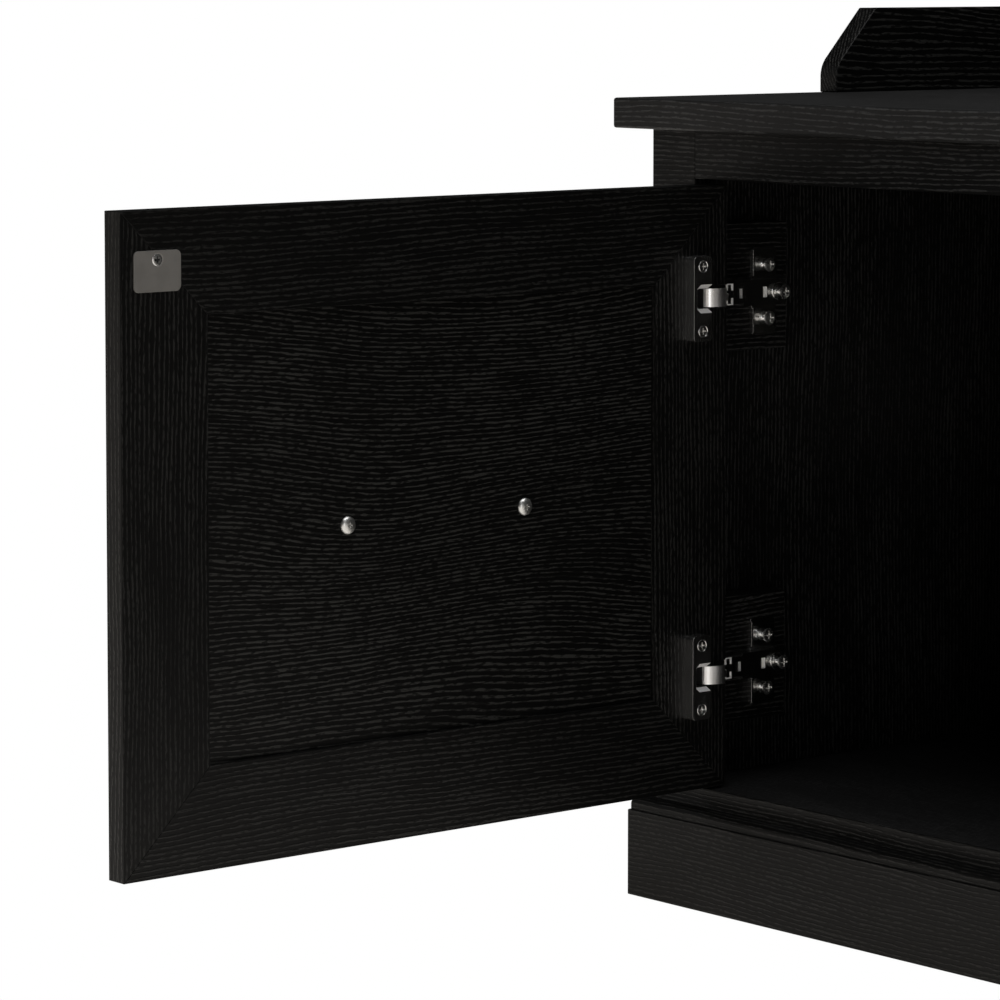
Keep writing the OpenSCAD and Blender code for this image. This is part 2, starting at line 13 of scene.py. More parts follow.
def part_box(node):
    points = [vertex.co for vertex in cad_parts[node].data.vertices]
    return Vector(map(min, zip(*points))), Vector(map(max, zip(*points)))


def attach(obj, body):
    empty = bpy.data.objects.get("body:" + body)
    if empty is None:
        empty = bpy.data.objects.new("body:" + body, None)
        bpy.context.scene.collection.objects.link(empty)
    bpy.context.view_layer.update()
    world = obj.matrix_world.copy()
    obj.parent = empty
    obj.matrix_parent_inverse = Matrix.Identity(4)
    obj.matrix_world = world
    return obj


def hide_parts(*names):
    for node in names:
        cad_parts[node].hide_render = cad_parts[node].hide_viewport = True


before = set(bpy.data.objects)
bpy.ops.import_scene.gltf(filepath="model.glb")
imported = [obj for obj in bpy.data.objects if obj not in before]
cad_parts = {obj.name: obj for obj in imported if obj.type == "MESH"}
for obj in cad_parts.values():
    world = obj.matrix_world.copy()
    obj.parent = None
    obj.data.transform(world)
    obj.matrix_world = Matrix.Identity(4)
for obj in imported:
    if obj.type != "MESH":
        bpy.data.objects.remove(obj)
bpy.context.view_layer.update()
mm = 0.001

# %% [markdown]
# ## Ways of working
# Each piece starts as a primitive at its own size and place. Operators act on everything
# that is selected, so the first helper clears the selection. The next ones make a block
# between two corners, soften its edges as a router or a press would, cut one shape out of
# another, and weld shapes together.

# %% Basic moves
def clear():
    if bpy.context.mode != "OBJECT":
        bpy.ops.object.mode_set(mode="OBJECT")
    bpy.ops.object.select_all(action="DESELECT")


def only(piece):
    clear()
    piece.select_set(True)
    bpy.context.view_layer.objects.active = piece
    return piece


def settle(piece):
    only(piece)
    bpy.ops.object.transform_apply(location=True, rotation=True, scale=True)
    return piece


def block(name, low, high):
    clear()
    low, high = Vector(low), Vector(high)
    bpy.ops.mesh.primitive_cube_add(size=1, location=(low + high) / 2, scale=high - low)
    piece = bpy.context.object
    piece.name = name
    return settle(piece)


def use_modifier(piece, kind, **values):
    only(piece)
    modifier = piece.modifiers.new(kind.lower(), kind)
    for key, value in values.items():
        setattr(modifier, key, value)
    bpy.ops.object.modifier_apply(modifier=modifier.name)
    return piece


def ease(piece, width, segments=3, angle=28):
    use_modifier(piece, "BEVEL", width=width, segments=segments, limit_method="ANGLE",
                 angle_limit=math.radians(angle), use_clamp_overlap=True)
    bpy.ops.object.shade_smooth_by_angle(angle=math.radians(40))
    return use_modifier(piece, "WEIGHTED_NORMAL", keep_sharp=True)


def cut(piece, *cutters):
    for cutter in cutters:
        use_modifier(piece, "BOOLEAN", operation="DIFFERENCE", solver="EXACT", object=cutter)
        bpy.data.objects.remove(cutter)
    return piece


def weld(piece, *others):
    for other in others:
        use_modifier(piece, "BOOLEAN", operation="UNION", solver="EXACT", object=other)
        bpy.data.objects.remove(other)
    return piece


def grab(piece, test, kind="FACE"):
    only(piece)
    bpy.ops.object.mode_set(mode="EDIT")
    bpy.ops.mesh.select_mode(type=kind)
    bpy.ops.mesh.select_all(action="DESELECT")
    bpy.ops.object.mode_set(mode="OBJECT")
    corners = [v.co for v in piece.data.vertices]
    if kind == "FACE":
        for face in piece.data.polygons:
            face.select = test(face.center, face.normal)
    else:
        for edge in piece.data.edges:
            a, b = (corners[i] for i in edge.vertices)
            edge.select = test((a + b) / 2, (b - a).normalized())
    bpy.ops.object.mode_set(mode="EDIT")


# %% [markdown]
# Boards with an outline, such as a moulding or a bent strap, are drawn the way one clicks
# them: a single corner is extruded from point to point, the ring is filled, and the face
# is pulled out. A mitre is then sawn with bisect, which also closes the sawn end.

# %% Draw, pull and saw
def drawn(name, ring, push):
    clear()
    ring = [Vector(p) for p in ring]
    bpy.ops.mesh.primitive_plane_add(size=0.001, location=ring[0])
    piece = bpy.context.object
    piece.name = name
    bpy.ops.object.mode_set(mode="EDIT")
    bpy.ops.mesh.select_mode(type="VERT")
    bpy.ops.mesh.select_all(action="SELECT")
    bpy.ops.mesh.merge(type="CENTER")
    for here, there in zip(ring, ring[1:]):
        bpy.ops.mesh.extrude_region_move(TRANSFORM_OT_translate={"value": there - here})
    bpy.ops.mesh.select_all(action="SELECT")
    bpy.ops.mesh.edge_face_add()
    bpy.ops.mesh.extrude_region_move(TRANSFORM_OT_translate={"value": Vector(push)})
    bpy.ops.mesh.select_all(action="SELECT")
    bpy.ops.mesh.normals_make_consistent(inside=False)
    return settle(piece)


def saw(piece, point, away):
    only(piece)
    bpy.ops.object.mode_set(mode="EDIT")
    bpy.ops.mesh.select_all(action="SELECT")
    bpy.ops.mesh.bisect(plane_co=Vector(point), plane_no=Vector(away), use_fill=True,
                        clear_outer=True, threshold=0.000001)
    bpy.ops.object.mode_set(mode="OBJECT")
    return piece


# %% [markdown]
# Screws, pins and handle bars are turned: a disc is extruded step by step along its axis
# and each new end is scaled to the next radius, just as a lathe drawing lists them.

# %% Turn a round piece along an axis
TOWARDS = {"+X": (0, math.pi / 2, 0), "-X": (0, -math.pi / 2, 0), "+Z": (0, 0, 0),
           "+Y": (-math.pi / 2, 0, 0), "-Y": (math.pi / 2, 0, 0)}


def turned(name, steps, place, towards, sides=32):
    clear()
    (radius, height), *rest = steps
    bpy.ops.mesh.primitive_circle_add(vertices=sides, radius=radius, fill_type="NGON",
                                      location=(0, 0, height))
    piece = bpy.context.object
    piece.name = name
    bpy.ops.object.mode_set(mode="EDIT")
    bpy.ops.mesh.select_all(action="SELECT")
    for next_radius, next_height in rest:
        bpy.ops.mesh.extrude_region_move(
            TRANSFORM_OT_translate={"value": (0, 0, next_height - height)})
        scale = next_radius / radius
        bpy.ops.transform.resize(value=(scale, scale, 1))
        radius, height = next_radius, next_height
    bpy.ops.mesh.select_all(action="SELECT")
    bpy.ops.mesh.normals_make_consistent(inside=False)
    bpy.ops.object.mode_set(mode="OBJECT")
    settle(piece)
    piece.rotation_euler = TOWARDS[towards]
    piece.location = place
    return settle(piece)


def joined(name, *pieces):
    clear()
    for piece in pieces:
        piece.select_set(True)
    bpy.context.view_layer.objects.active = pieces[0]
    bpy.ops.object.join()
    pieces[0].name = name
    return pieces[0]


# %% [markdown]
# ## Shader sums
# A material is easier to read as a formula than as a web of nodes. `Value` wraps one socket,
# and adding or multiplying two of them adds the Math node that does it.

# %% Shader formulas
class Value:
    def __init__(self, tree, socket):
        self.tree, self.socket = tree, socket

    def _math(self, operation, *others):
        node = self.tree.nodes.new("ShaderNodeMath")
        node.operation = operation
        for slot, value in zip(node.inputs, (self, *others)):
            if isinstance(value, Value):
                self.tree.links.new(value.socket, slot)
            else:
                slot.default_value = value
        return Value(self.tree, node.outputs[0])

    def __add__(self, other): return self._math("ADD", other)
    def __radd__(self, other): return self._math("ADD", other)
    def __sub__(self, other): return self._math("SUBTRACT", other)
    def __rsub__(self, other): return (self * -1) + other
    def __mul__(self, other): return self._math("MULTIPLY", other)
    def __truediv__(self, other): return self._math("DIVIDE", other)
    def fraction(self): return self._math("FRACT")
    def absolute(self): return self._math("ABSOLUTE")


class Finish:
    """A material being written: node() adds any node, noise() and fade() the common ones."""

    def __init__(self, name):
        self.material = bpy.data.materials.new(name)
        self.material.use_nodes = True
        self.tree = self.material.node_tree
        self.shader = self.tree.nodes["Principled BSDF"]

    def node(self, kind, settings=(), output=0, **sockets):
        node = self.tree.nodes.new(kind)
        for key, value in dict(settings).items():
            setattr(node, key, value)
        for key, value in sockets.items():
            self.put(node.inputs[key.replace("_", " ")], value)
        return Value(self.tree, node.outputs[output])

    def put(self, slot, value):
        if isinstance(value, Value):
            self.tree.links.new(value.socket, slot)
        else:
            slot.default_value = value

    def set(self, **sockets):
        for key, value in sockets.items():
            self.put(self.shader.inputs[key.replace("_", " ")], value)

    def place(self):
        return self.node("ShaderNodeTexCoord", output="Object")

    def parts(self, vector):
        node = self.tree.nodes.new("ShaderNodeSeparateXYZ")
        self.tree.links.new(vector.socket, node.inputs[0])
        return [Value(self.tree, out) for out in node.outputs]

    def vector(self, x, y, z):
        return self.node("ShaderNodeCombineXYZ", X=x, Y=y, Z=z)

    def noise(self, vector, scale=1.0, detail=2.0, roughness=0.5):
        return self.node("ShaderNodeTexNoise", Vector=vector, Scale=scale, Detail=detail,
                         Roughness=roughness)

    def fade(self, value, low, high):
        node = self.tree.nodes.new("ShaderNodeMapRange")
        node.interpolation_type = "SMOOTHSTEP"
        for slot, number in zip(node.inputs[:5], (value, low, high, 0.0, 1.0)):
            self.put(slot, number)
        return Value(self.tree, node.outputs[0])

    def mix(self, share, first, second):
        node = self.tree.nodes.new("ShaderNodeMix")
        node.data_type = "RGBA"
        self.put(node.inputs[0], share)
        self.put(node.inputs[6], (*first, 1) if isinstance(first, tuple) else first)
        self.put(node.inputs[7], (*second, 1) if isinstance(second, tuple) else second)
        return Value(self.tree, node.outputs[2])

    def bump(self, height, distance, strength=1.0):
        return self.node("ShaderNodeBump", output=0, Height=height, Distance=distance,
                         Strength=strength)


# %% [markdown]
# ## The black grain foil
# Every board is wrapped in a foil with an embossed oak figure: thin raised lines about
# 3 mm apart that wander, swell and break off into dashes, with much finer fibres between.
# The lines are the crests of a slow wave counted across the board. Noise stretched along
# the grain bends them, and a second noise breaks them. The ridges are a little lighter and
# smoother than the hollows, and the same wave drives the bump.

# %% Grain foil
AXES = "XYZ"


def grain_foil(name, along, dark, light, pitch=3.0 * mm, wander=2.0, shift=0.0):
    f = Finish(name)
    parts = f.parts(f.place())
    u = parts[AXES.index(along)] + shift
    v, w = [parts[i] for i in range(3) if AXES[i] != along]
    across = v + w
    slow = f.noise(f.vector(u * 2.4, v * 4.5, w * 4.5), detail=1.0)
    middle = f.noise(f.vector(u * 11.0, v * 40.0, w * 40.0), detail=1.5)
    quick = f.noise(f.vector(u * 90.0, v * 300.0, w * 300.0), detail=2.0)
    count = across / pitch + (slow - 0.5) * wander * 5.0 + (middle - 0.5) * 1.7 \
        + (quick - 0.5) * 0.55
    wave = 1.0 - (count.fraction() * 2.0 - 1.0).absolute()
    swell = f.noise(f.vector(u * 24.0, v * 170.0, w * 170.0), detail=1.0)
    line = f.fade(wave - (swell - 0.5) * 0.8, 0.46, 0.84)
    broken = f.fade(f.noise(f.vector(u * 230.0, v * 760.0, w * 760.0), detail=1.0), 0.38, 0.58)
    pore = f.noise(f.vector(u * 650.0, v * 1100.0, w * 1100.0), detail=1.0)
    patch = f.fade(f.noise(f.vector(u * 6.0, v * 20.0, w * 20.0), detail=2.0), 0.2, 0.62)
    ridge = line * (broken * 0.75 + 0.28) * (patch * 0.55 + 0.45) * (pore * 1.4 + 0.4)
    fibre = f.noise(f.vector(u * 60.0, v * 1500.0, w * 1500.0), detail=2.0)
    rub = f.noise(f.vector(u * 3.0, v * 3.0, w * 3.0), detail=3.0)
    f.set(Base_Color=f.mix(f.fade(ridge + (fibre - 0.5) * 0.2, 0.0, 1.0), dark, light),
          Roughness=0.40 - ridge * 0.06 + (rub - 0.5) * 0.08,
          Normal=f.bump(ridge + fibre * 0.18, 0.00030, 0.5))
    f.shader.inputs["Specular IOR Level"].default_value = 0.18
    return f.material


SHADES = {"plain": ((0.0028, 0.0028, 0.0027), (0.034, 0.034, 0.033)),
          # Painted light: "top" is a lighter copy of the foil, for the light on the worktop and
          # on the floor of the compartments.
          "top": ((0.018, 0.018, 0.018), (0.056, 0.056, 0.056)),
          "panel": ((0.0022, 0.0022, 0.0021), (0.033, 0.033, 0.031)),
          # Painted shade: "door" is a copy of the foil with dimmed lines, for the door frames and
          # the plinth.
          "door": ((0.0026, 0.0026, 0.0025), (0.020, 0.020, 0.019)),
          # Painted light: "inner" is a slightly lighter copy of the foil, for the boards inside
          # the carcass.
          "inner": ((0.0036, 0.0036, 0.0036), (0.034, 0.034, 0.033))}
foils = {}


def foil(along, shade="plain", shift=0.0):
    key = (along, shade, round(shift, 3))
    if key not in foils:
        dark, light = SHADES[shade]
        wander = 6.5 if shade == "panel" else 1.8
        foils[key] = grain_foil(f"grain_foil_{shade}_{along}_{len(foils)}", along, dark, light,
                                wander=wander, shift=shift)
    return foils[key]


# %% [markdown]
# Long faces and edges take the grain that runs along the board. The sawn ends are covered
# by a strip of the same foil, laid along the end, so faces that look along the grain get a
# second material slot with the grain turned.

# %% Dress a board
def dress(piece, along, shade="plain", shift=0.0):
    axis = AXES.index(along)
    sizes = list(piece.dimensions)
    sizes[axis] = 0
    end_along = AXES[sizes.index(max(sizes))]
    piece.data.materials.clear()
    piece.data.materials.append(foil(along, shade, shift))
    piece.data.materials.append(foil(end_along, "plain" if shade == "panel" else shade, shift))
    for face in piece.data.polygons:
        face.material_index = 1 if abs(face.normal[axis]) > 0.75 else 0
    return piece


def fit(piece, body, slot, *nodes):
    settle(piece)
    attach(piece, body)
    if nodes:
        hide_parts(*nodes)
    return piece


def board(node, along, slot, body="cabinet", edge=0.8 * mm, shade="plain", shift=0.0):
    piece = block(node + "_board", *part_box(node))
    ease(piece, edge)
    dress(piece, along, shade, shift)
    fit(piece, body, slot, node)
    print(node, [round(s / mm) for s in piece.dimensions], "mm, grain along", along)
    return piece


# %% [markdown]
# ## Worktop and carcass
# The boards of the carcass are plain panels. The worktop is the one people touch, so its
# edges are rounded more. Its foil is a shade lighter because light rakes across it.

# %% Worktop, sides, partition and floor
board("worktop", "X", "worktop", edge=1.6 * mm, shade="top")
# The sides and the partition take the "inner" tones, a painted light inside the carcass.
board("side_panel_left", "Z", "carcass", shade="inner", shift=0.3)
board("side_panel_right", "Z", "carcass", shade="inner", shift=0.9)
board("partition", "Z", "carcass", shade="inner", shift=1.4)
# The floor of the compartments takes the lighter "top" tones, a painted light inside the carcass.
board("floor_panel", "X", "carcass", shade="top", shift=0.6)
board("centre_foot", "X", "carcass", edge=1.5 * mm)

# %% [markdown]
# The back is a thin sheet with one round cable hole behind each compartment. A boolean
# cuts the holes and the bevel then softens their rims together with the outside edges.

# %% Back panel
cable_hole_r = 30 * mm
low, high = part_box("back_panel")
back = block("back_sheet", low, high)
hole_z = (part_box("partition")[0].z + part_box("face_stile_centre")[1].z) / 2
hole_x = (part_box("face_stile_centre")[1].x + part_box("face_stile_right")[0].x) / 2
for side in (-1, 1):
    cutter = turned("hole", [(cable_hole_r, -20 * mm), (cable_hole_r, 20 * mm)],
                    (side * hole_x, (low.y + high.y) / 2, hole_z), "+Y", sides=64)
    cut(back, cutter)
ease(back, 0.6 * mm)
# The back takes the "inner" tones, a painted light inside the carcass.
dress(back, "X", "inner")
fit(back, "cabinet", "carcass", "back_panel")

# %% [markdown]
# ## Face frame
# The front frame hides the edges of the carcass. Its grain runs sideways on the rail. On
# the uprights the foil was cut the same way, so the figure also crosses them sideways.

# %% Uprights and rail
for node in ("face_stile_left", "face_stile_right", "face_stile_centre"):
    board(node, "X", "face_frame", edge=0.5 * mm, shift=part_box(node)[0].x)
board("face_rail_top", "X", "face_frame", edge=0.5 * mm, shift=2.3)

# %% [markdown]
# ## Gallery
# Two low side boards and a back board stand on the worktop. The nose of each side board
# rises, turns over in a round and slopes back. The outline is a ring of corners with a
# short arc in it, pulled through the thickness of the board.

# %% Gallery boards
def gallery_side(node, shift):
    low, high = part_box(node)
    tall = high.z - low.z
    slope = math.radians(43.3)
    nose, radius = 16.3 * mm, 17 * mm
    start = nose - radius * math.tan(slope / 2)
    arc = [(radius * (1 - math.cos(slope * i / 14)), start + radius * math.sin(slope * i / 14))
           for i in range(15)]
    run = (tall - nose) * math.tan(slope)
    ring = [(high.y - low.y, 0), (0, 0)] + arc + [(run, tall), (high.y - low.y, tall)]
    piece = drawn(node + "_board", [(low.x, low.y + y, low.z + z) for y, z in ring],
                  (high.x - low.x, 0, 0))
    ease(piece, 0.8 * mm, angle=20)
    dress(piece, "Y", "panel", shift)
    for face in piece.data.polygons:
        if abs(face.normal.y) > 0.3 and face.normal.z > -0.2 and abs(face.normal.x) < 0.3:
            face.material_index = 0
    return fit(piece, "cabinet", "gallery", node)


gallery_side("gallery_left", 0.2)
gallery_side("gallery_right", 1.7)
board("gallery_back", "X", "gallery", shift=0.5)

# %% [markdown]
# ## Plinth
# The plinth is one moulded board: a flat face, a small step, a rounded shoulder and a
# hollow that runs up to a thin bead. The same outline serves all three runs, and the two
# front corners are sawn at 45 degrees, so that the mouldings meet in a mitre.

# %% Plinth outline
def plinth_ring():
    out, thick, flat, tall, floor = 10.0, 18.0, 52.0, 72.0, 54.0
    shoulder_r, shoulder_z, bead_x, bead_h = 5.0, 55.5, 1.2, 1.2
    ledge_x, ledge_z = out - 1.3 - shoulder_r, shoulder_z + shoulder_r
    rise, run = tall - bead_h - ledge_z, ledge_x - bead_x
    cove_r = (run * run + rise * rise) / (2 * run)
    ring = [(out - thick, 0), (out, 0), (out, flat), (out - 1.3, flat + 0.1)]
    ring += [(ledge_x + shoulder_r * math.cos(a), shoulder_z + shoulder_r * math.sin(a))
             for a in (math.pi / 2 * i / 10 for i in range(11))]
    reach = math.asin(rise / cove_r)
    ring += [(bead_x + cove_r - cove_r * math.cos(a), ledge_z + rise - cove_r * math.sin(a))
             for a in (reach * (1 - i / 10) for i in range(11))]
    ring += [(bead_x, tall), (0, tall), (0, floor), (out - thick, floor)]
    clean = [p for i, p in enumerate(ring) if math.dist(p, ring[i - 1]) > 0.15]
    return [(p * mm, z * mm) for p, z in clean]


side_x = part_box("floor_panel")[1].x
front_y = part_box("floor_panel")[0].y
back_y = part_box("plinth_left")[1].y
ring = plinth_ring()
reach = side_x + 10 * mm
front = drawn("plinth_front_board", [(-reach, front_y - p, z) for p, z in ring],
              (2 * reach, 0, 0))
runs = [(front, "X", "plinth_front")]
for name, side in (("plinth_left", -1), ("plinth_right", 1)):
    piece = drawn(name + "_board", [(side * (side_x + p), front_y - 10 * mm, z) for p, z in ring],
                  (0, back_y - front_y + 10 * mm, 0))
    corner = (side * side_x, front_y, 0)
    saw(piece, corner, (-side, -1, 0))
    saw(front, corner, (side, 1, 0))
    runs.append((piece, "Y", name))
for piece, along, node in runs:
    ease(piece, 0.45 * mm, segments=2, angle=35)
    # The plinth takes the dimmer "door" tones, a painted shade.
    dress(piece, along, "door", shift=0.8)
    fit(piece, "cabinet", "plinth", node)
    print(node, [round(s / mm) for s in piece.dimensions], "mm")

# %% [markdown]
# ## Doors
# A door is drawn lying along its own axes: x from the hinge edge, y from the outer face
# and z from the bottom. Two matrices carry a finished piece from there to the left door,
# which stands open at a right angle, and to the right door, which is shut and mirrored.

# %% Door sizes and the way to each door
shut_low, shut_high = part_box("door_right_stile_hinge")
open_low, open_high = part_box("door_left_stile_hinge")
free_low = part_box("door_right_stile_free")[0]
door_h = shut_high.z - shut_low.z
door_t = open_high.x - open_low.x
door_w = shut_high.x - free_low.x
member = shut_high.x - shut_low.x
to_left = Matrix(((0, 1, 0, open_low.x), (-1, 0, 0, open_high.y), (0, 0, 1, open_low.z),
                  (0, 0, 0, 1)))
to_right = Matrix(((-1, 0, 0, shut_high.x), (0, 1, 0, shut_low.y), (0, 0, 1, shut_low.z),
                   (0, 0, 0, 1)))
print("door", [round(v / mm, 1) for v in (door_w, door_t, door_h, member)])


def placed(piece, name, way, lift=0.0):
    twin = piece.copy()
    twin.data = piece.data.copy()
    bpy.context.collection.objects.link(twin)
    twin.name = name
    twin.matrix_world = way @ Matrix.Translation((0, 0, lift))
    settle(twin)
    if way.determinant() < 0:
        grab(twin, lambda centre, normal: True)
        bpy.ops.mesh.normals_make_consistent(inside=False)
        bpy.ops.object.mode_set(mode="OBJECT")
        bpy.ops.object.shade_smooth_by_angle(angle=math.radians(40))
    return twin


DOORS = (("left", to_left, "Y"), ("right", to_right, "X"))

# %% [markdown]
# The frame members are sawn at 45 degrees and hold the panel in a groove. Each member is a
# straight block first. The groove is cut, then both ends are sawn. The tiny rounding of
# the edges is what shows each mitre as a fine line. The hinge stile also gets a notch for
# each hinge knuckle and a pocket for each hinge cup.

# %% Door members
hinge_low = (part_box("hinge_cup_left_lower")[0].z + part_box("hinge_cup_left_lower")[1].z) / 2 \
    - open_low.z
hinge_high = (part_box("hinge_cup_left_upper")[0].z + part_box("hinge_cup_left_upper")[1].z) / 2 \
    - open_low.z
groove_low, groove_high = 3.5 * mm, 10.5 * mm


def member_block(name, low, high):
    piece = block(name, low, high)
    inner = 49 * mm
    cut(piece, block("groove", (inner, groove_low, inner),
                     (door_w - inner, groove_high, door_h - inner)))
    half = Vector((door_w / 2, 0, door_h / 2))
    middle = (Vector(low) + Vector(high)) / 2
    upright = high[2] - low[2] > high[0] - low[0]
    for x in (0, door_w):
        for z in (0, door_h):
            along_x = 1 if x == 0 else -1
            along_z = 1 if z == 0 else -1
            away = Vector((along_x, 0, -along_z)) if upright else Vector((-along_x, 0, along_z))
            near_x, near_z = abs(middle.x - x) < door_w / 4, abs(middle.z - z) < door_h / 4
            if near_x if upright else near_z:
                saw(piece, (x, 0, z), away)
    return piece


stile_hinge = member_block("stile_hinge", (0, 0, 0), (member, door_t, door_h))
stile_free = member_block("stile_free", (door_w - member, 0, 0), (door_w, door_t, door_h))
rail_top = member_block("rail_top", (0, 0, door_h - member), (door_w, door_t, door_h))
rail_bottom = member_block("rail_bottom", (0, 0, 0), (door_w, door_t, member))
for height in (hinge_low, hinge_high):
    cut(stile_hinge,
        block("notch", (-1 * mm, 2.4 * mm, height - 6.8 * mm),
              (8.1 * mm, 20 * mm, height + 6.8 * mm)),
        block("pocket", (19.6 * mm, 5.9 * mm, height - 10.3 * mm),
              (32.3 * mm, 20 * mm, height + 10.3 * mm)))
panel = block("panel", (50 * mm, groove_low, 50 * mm),
              (door_w - 50 * mm, groove_high, door_h - 50 * mm))
print("members sawn, faces:", [len(p.data.polygons) for p in
                               (stile_hinge, stile_free, rail_top, rail_bottom)])

# %% Doors in place
for side, way, sideways in DOORS:
    body = "door_" + side
    for piece, part, along in ((stile_hinge, "stile_hinge", "Z"), (stile_free, "stile_free", "Z"),
                               (rail_top, "rail_top", sideways),
                               (rail_bottom, "rail_bottom", sideways)):
        node = f"door_{side}_{part}"
        twin = placed(piece, node + "_wood", way)
        ease(twin, 0.35 * mm, segments=2)
        # The frame members take the dimmer "door" tones, a painted shade.
        dress(twin, along, "door", 0.1 + 0.7 * len(foils))
        fit(twin, body, "door_frame", node)
    node = f"door_{side}_panel"
    twin = placed(panel, node + "_wood", way)
    ease(twin, 0.35 * mm, segments=2)
    dress(twin, sideways, "panel", 0.4 if side == "left" else 2.2)
    fit(twin, body, "door_panel", node)
for piece in (stile_hinge, stile_free, rail_top, rail_bottom, panel):
    bpy.data.objects.remove(piece)

# %% [markdown]
# ## Metal finishes
# The hinges are zinc die castings under a nickel coat, which is almost a mirror. Fine
# brushing and a few soft dents break its reflections. The strike plate is a dull
# galvanised sheet, and the handles are black and satin, like the boards.

# Some pieces wear two finishes. `mark` picks the faces that take the second one: the rims and
# edges of a casting take a pale finish, a painted highlight, and the leg of the strap a dark one,
# a painted shade.

# %% Metals and plastic
def metal(name, colour, rough, metallic=1.0, brush=0.05, dent=0.00006):
    f = Finish(name)
    x, y, z = f.parts(f.place())
    cloud = f.noise(f.vector(x * 90.0, y * 90.0, z * 90.0), detail=3.0)
    line = f.noise(f.vector(x * 500.0, y * 500.0, z * 4500.0), detail=1.0)
    # Lighter patches of wear, placed at random by the cloud noise.
    wear_and_highlight = tuple(min(1.0, c * 1.12) for c in colour)
    f.set(Base_Color=f.mix(f.fade(cloud, 0.35, 0.7), colour, wear_and_highlight),
          Roughness=rough + (cloud - 0.5) * brush * 1.5 + (line - 0.5) * brush,
          Normal=f.bump(cloud * 0.6 + line * 0.1, dent, 0.5))
    f.shader.inputs["Metallic"].default_value = metallic
    return f.material


nickel = metal("bright_nickel", (0.80, 0.80, 0.79), 0.16)
strap_nickel = metal("strap_nickel", (0.94, 0.94, 0.93), 0.29)
zinc = metal("zinc_casting", (0.80, 0.80, 0.79), 0.24)
# A pale, half-diffuse metal for rims and edges: a painted highlight that stays bright under any
# lamp.
painted_highlight_metal = metal("painted_highlight_rim", (0.96, 0.96, 0.95), 0.38, metallic=0.25)
# A dark metal for the leg of the strap down in the well: a painted shade.
painted_shade_steel = metal("painted_shade_steel", (0.030, 0.030, 0.031), 0.36, metallic=0.5)
screw_steel = metal("screw_steel", (0.84, 0.84, 0.83), 0.27)
dome_steel = metal("dome_steel", (0.82, 0.82, 0.80), 0.38)
sheet_steel = metal("galvanised_sheet", (0.215, 0.207, 0.195), 0.55, metallic=0.4, brush=0.10)
black_metal = metal("satin_black_metal", (0.020, 0.020, 0.021), 0.34, metallic=0.35)
ferrite = metal("ferrite_magnet", (0.045, 0.044, 0.043), 0.55, metallic=0.5, brush=0.2,
                dent=0.0002)
brown_plastic = metal("brown_plastic", (0.055, 0.034, 0.022), 0.45, metallic=0.0, brush=0.1,
                      dent=0.0001)


def mark(piece, wanted):
    piece.data.materials.clear()
    piece.data.materials.append(None)
    piece.data.materials.append(None)
    for face in piece.data.polygons:
        face.material_index = 1 if wanted(face.center, face.normal) else 0
    return piece


def finish_metal(piece, material, body, slot, *nodes, second=None):
    share = [face.material_index if second else 0 for face in piece.data.polygons]
    piece.data.materials.clear()
    for finish in (material, second) if second else (material,):
        piece.data.materials.append(finish)
    for face, index in zip(piece.data.polygons, share):
        face.material_index = index
    return fit(piece, body, slot, *nodes)


# %% [markdown]
# ## Screws
# A screw head is turned and then a cross is cut into it. There are three kinds here:
# countersunk wood screws, tall pillar screws that stand on the mounting plates, and
# domed screws behind the handle feet.

# %% Turn the screws
def cross(depth_at, towards, place, arm=2.0 * mm, slot=0.45 * mm, depth=1.4 * mm):
    pieces = []
    for a, b in ((arm, slot), (slot, arm)):
        low = Vector((-a, -b, depth_at - depth))
        high = Vector((a, b, depth_at + 2 * mm))
        bar = block("cross", low, high)
        bar.rotation_euler = TOWARDS[towards]
        bar.location = place
        pieces.append(settle(bar))
    return pieces


def sunk_screw(length):
    piece = turned("sunk_screw", [(1.55 * mm, -length), (1.55 * mm, -1.9 * mm),
                                  (3.3 * mm, -0.25 * mm), (3.3 * mm, -0.05 * mm),
                                  (3.0 * mm, 0.12 * mm), (2.2 * mm, 0.25 * mm)],
                   (0, 0, 0), "+Z", sides=32)
    cut(piece, *cross(0.25 * mm, "+Z", (0, 0, 0)))
    return ease(piece, 0.12 * mm, segments=2)


def pillar_screw(length):
    piece = turned("pillar_screw", [(1.55 * mm, -length), (1.55 * mm, 0.0), (3.8 * mm, 0.02 * mm),
                                    (2.9 * mm, 0.3 * mm), (2.1 * mm, 0.8 * mm),
                                    (1.5 * mm, 1.4 * mm), (1.45 * mm, 1.9 * mm),
                                    (2.2 * mm, 2.15 * mm), (2.75 * mm, 2.7 * mm),
                                    (3.0 * mm, 3.4 * mm), (2.8 * mm, 4.1 * mm),
                                    (2.2 * mm, 4.6 * mm), (3.9 * mm, 4.8 * mm),
                                    (4.3 * mm, 5.05 * mm), (4.2 * mm, 5.4 * mm),
                                    (3.0 * mm, 5.9 * mm)], (0, 0, 0), "+Z", sides=32)
    cut(piece, *cross(5.9 * mm, "+Z", (0, 0, 0), arm=2.6 * mm, slot=0.5 * mm))
    only(piece)
    bpy.ops.object.shade_smooth_by_angle(angle=math.radians(38))
    return piece


def dome_screw(length):
    dome = [(5.0 * math.cos(a) * mm, (0.4 + 2.3 * math.sin(a)) * mm)
            for a in (math.radians(12 * i) for i in range(7))]
    piece = turned("dome_screw", [(2 * mm, -length), (2 * mm, 0.0), (4.8 * mm, 0.02 * mm)]
                   + dome, (0, 0, 0), "+Z", sides=40)
    cut(piece, *cross(2.6 * mm, "+Z", (0, 0, 0), arm=1.7 * mm, slot=0.4 * mm, depth=0.9 * mm))
    only(piece)
    bpy.ops.object.shade_smooth_by_angle(angle=math.radians(38))
    return piece


